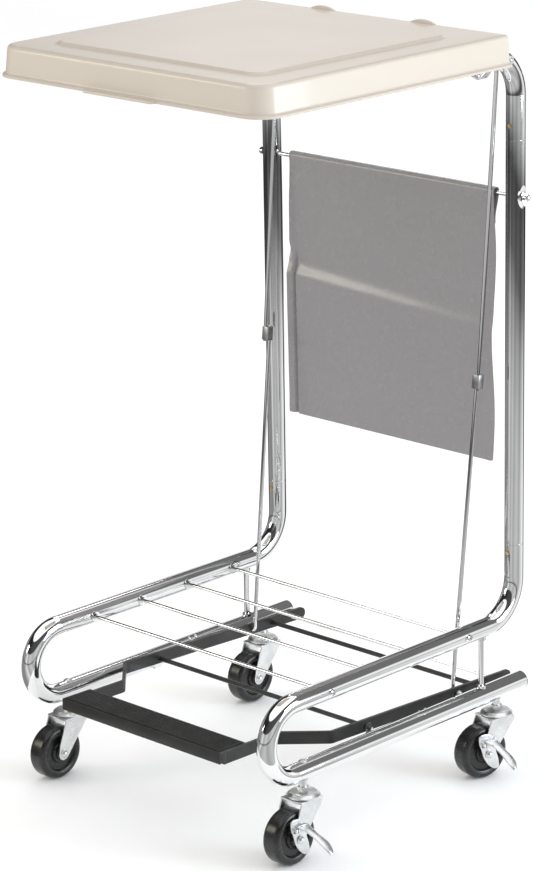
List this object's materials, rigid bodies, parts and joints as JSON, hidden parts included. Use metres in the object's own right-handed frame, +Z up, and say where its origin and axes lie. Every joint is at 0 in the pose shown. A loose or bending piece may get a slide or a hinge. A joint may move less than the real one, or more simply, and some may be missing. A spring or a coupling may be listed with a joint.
{
  "type": "rolling hamper stand",
  "caption": "Rolling tube-frame hamper stand with a pedal-lifted hinged lid, bag hoop, rear curtain, rod shelf and swivel casters.",
  "frame": {"origin": "centre of the footprint of the whole part on the floor", "axes": "+Z up, -Y towards the pedal at the front, +X towards the side with the braked casters"},
  "size_m": [0.5068, 0.5004, 0.9692],
  "materials": {
    "chrome": "bright nickel-chrome plating, polished",
    "black_plastic": "matt black moulded plastic",
    "curtain_vinyl": "grey coated vinyl cloth with a fine grain",
    "black_paint": "satin black powder coat",
    "pedal_rubber": "ribbed black rubber",
    "bumper_rubber": "black rubber",
    "lid_plastic": "glossy warm beige moulded ABS",
    "bracket_steel": "bright plated pressed steel",
    "zinc": "bright zinc plated pressed steel",
    "spring_steel": "spring steel",
    "button_brass": "brass coloured",
    "wheel_rubber": "dark grey-black rubber tyre on a moulded hub"
  },
  "bodies": {
    "frame": {"left_base_frame": "chrome", "right_base_frame": "chrome", "left_upright": "chrome", "right_upright": "chrome", "bag_hoop": "chrome", "runner_end_plugs": "black_plastic", "brace_posts": "chrome", "shelf_rod_1": "chrome", "shelf_rod_2": "chrome", "shelf_rod_3": "chrome", "shelf_rod_4": "chrome", "shelf_rod_collars": "chrome", "shelf_rod_screws": "chrome", "curtain_rod": "chrome", "curtain_rod_nuts": "chrome", "pedal_pivot_rod": "black_paint", "pivot_brackets": "chrome", "runner_rivets": "chrome", "hinge_bolts": "chrome", "snap_springs": "spring_steel", "caster_stems": "zinc"},
    "pedal": {"left_pedal_arm": "black_paint", "right_pedal_arm": "black_paint", "pedal_plate": "black_paint", "pedal_mat": "pedal_rubber", "pedal_rear_rod": "black_paint", "pedal_tie_rod": "chrome"},
    "left_lift": {"left_lower_lift_rod": "chrome", "left_upper_lift_rod": "chrome", "left_rod_clip": "spring_steel", "left_hook_cap": "zinc"},
    "right_lift": {"right_lower_lift_rod": "chrome", "right_upper_lift_rod": "chrome", "right_rod_clip": "spring_steel", "right_hook_cap": "zinc"},
    "lid": {"lid": "lid_plastic", "lid_brackets": "bracket_steel", "lid_screws": "zinc", "lid_bumpers": "bumper_rubber"},
    "curtain": {"curtain": "curtain_vinyl"},
    "swivel_left_front": {"fork_left_front": "zinc", "axle_left_front": "zinc"},
    "wheel_left_front": {"wheel_left_front": "wheel_rubber"},
    "swivel_right_front": {"fork_right_front": "zinc", "axle_right_front": "zinc", "brake_bracket_front": "zinc"},
    "wheel_right_front": {"wheel_right_front": "wheel_rubber"},
    "swivel_left_rear": {"fork_left_rear": "zinc", "axle_left_rear": "zinc"},
    "wheel_left_rear": {"wheel_left_rear": "wheel_rubber"},
    "swivel_right_rear": {"fork_right_rear": "zinc", "axle_right_rear": "zinc", "brake_bracket_rear": "zinc"},
    "wheel_right_rear": {"wheel_right_rear": "wheel_rubber"},
    "brake_lever_front": {"brake_lever_front": "zinc"},
    "brake_lever_rear": {"brake_lever_rear": "zinc"},
    "snap_button_left_low": {"snap_button_left_low": "button_brass"},
    "snap_button_right_low": {"snap_button_right_low": "button_brass"},
    "snap_button_left_top": {"snap_button_left_top": "button_brass"},
    "snap_button_right_top": {"snap_button_right_top": "button_brass"}
  },
  "joints": [
    {"name": "pedal_press", "type": "hinge", "parent": "frame", "child": "pedal", "pos_m": [-0.02162, -0.02863, 0.121], "axis": [1, 0, 0], "range_deg": [0, 10.4]},
    {"name": "left_lift_pivot", "type": "hinge", "parent": "pedal", "child": "left_lift", "pos_m": [-0.19812, 0.14437, 0.115], "axis": [1, 0, 0], "range_deg": [-10.4, 0]},
    {"name": "right_lift_pivot", "type": "hinge", "parent": "pedal", "child": "right_lift", "pos_m": [0.15488, 0.14437, 0.115], "axis": [1, 0, 0], "range_deg": [-10.4, 0]},
    {"name": "lid_hinge", "type": "hinge", "parent": "frame", "child": "lid", "pos_m": [-0.02162, 0.20196, 0.93323], "axis": [-1, 0, 0], "range_deg": [0, 65]},
    {"name": "curtain_swing", "type": "hinge", "parent": "frame", "child": "curtain", "pos_m": [-0.02162, 0.22787, 0.758], "axis": [1, 0, 0], "range_deg": [-5, 25]},
    {"name": "swivel_left_front", "type": "hinge", "parent": "frame", "child": "swivel_left_front", "pos_m": [-0.23062, -0.17063, 0.09], "axis": [0, 0, 1], "continuous": true},
    {"name": "spin_left_front", "type": "hinge", "parent": "swivel_left_front", "child": "wheel_left_front", "pos_m": [-0.23062, -0.19763, 0.035], "axis": [1, 0, 0], "continuous": true},
    {"name": "swivel_right_front", "type": "hinge", "parent": "frame", "child": "swivel_right_front", "pos_m": [0.18738, -0.17063, 0.09], "axis": [0, 0, 1], "continuous": true},
    {"name": "spin_right_front", "type": "hinge", "parent": "swivel_right_front", "child": "wheel_right_front", "pos_m": [0.18738, -0.19763, 0.035], "axis": [1, 0, 0], "continuous": true},
    {"name": "swivel_left_rear", "type": "hinge", "parent": "frame", "child": "swivel_left_rear", "pos_m": [-0.23062, 0.19437, 0.09], "axis": [0, 0, 1], "continuous": true},
    {"name": "spin_left_rear", "type": "hinge", "parent": "swivel_left_rear", "child": "wheel_left_rear", "pos_m": [-0.23062, 0.16737, 0.035], "axis": [1, 0, 0], "continuous": true},
    {"name": "swivel_right_rear", "type": "hinge", "parent": "frame", "child": "swivel_right_rear", "pos_m": [0.18738, 0.19437, 0.09], "axis": [0, 0, 1], "continuous": true},
    {"name": "spin_right_rear", "type": "hinge", "parent": "swivel_right_rear", "child": "wheel_right_rear", "pos_m": [0.18177, 0.16796, 0.035], "axis": [0.9781, -0.2079, 0], "continuous": true},
    {"name": "brake_press_front", "type": "hinge", "parent": "swivel_right_front", "child": "brake_lever_front", "pos_m": [0.21098, -0.19863, 0.051], "axis": [0, -1, 0], "range_deg": [0, 35]},
    {"name": "brake_press_rear", "type": "hinge", "parent": "swivel_right_rear", "child": "brake_lever_rear", "pos_m": [0.20464, 0.16207, 0.051], "axis": [-0.2079, -0.9781, 0], "range_deg": [0, 35]},
    {"name": "snap_push_left_low", "type": "slide", "parent": "frame", "child": "snap_button_left_low", "axis": [0, 1, 0], "range_m": [0, 0.003], "stiffness_N_per_m": 400},
    {"name": "snap_push_right_low", "type": "slide", "parent": "frame", "child": "snap_button_right_low", "axis": [0, 1, 0], "range_m": [0, 0.003], "stiffness_N_per_m": 400},
    {"name": "snap_push_left_top", "type": "slide", "parent": "frame", "child": "snap_button_left_top", "axis": [0, 1, 0], "range_m": [0, 0.003], "stiffness_N_per_m": 400},
    {"name": "snap_push_right_top", "type": "slide", "parent": "frame", "child": "snap_button_right_top", "axis": [0, 1, 0], "range_m": [0, 0.003], "stiffness_N_per_m": 400}
  ],
  "couplings": [
    {"joint": "left_lift_pivot", "follows": "pedal_press", "ratio": -1},
    {"joint": "right_lift_pivot", "follows": "pedal_press", "ratio": -1},
    {"joint": "lid_hinge", "follows": "pedal_press", "ratio": 6.25}
  ]
}
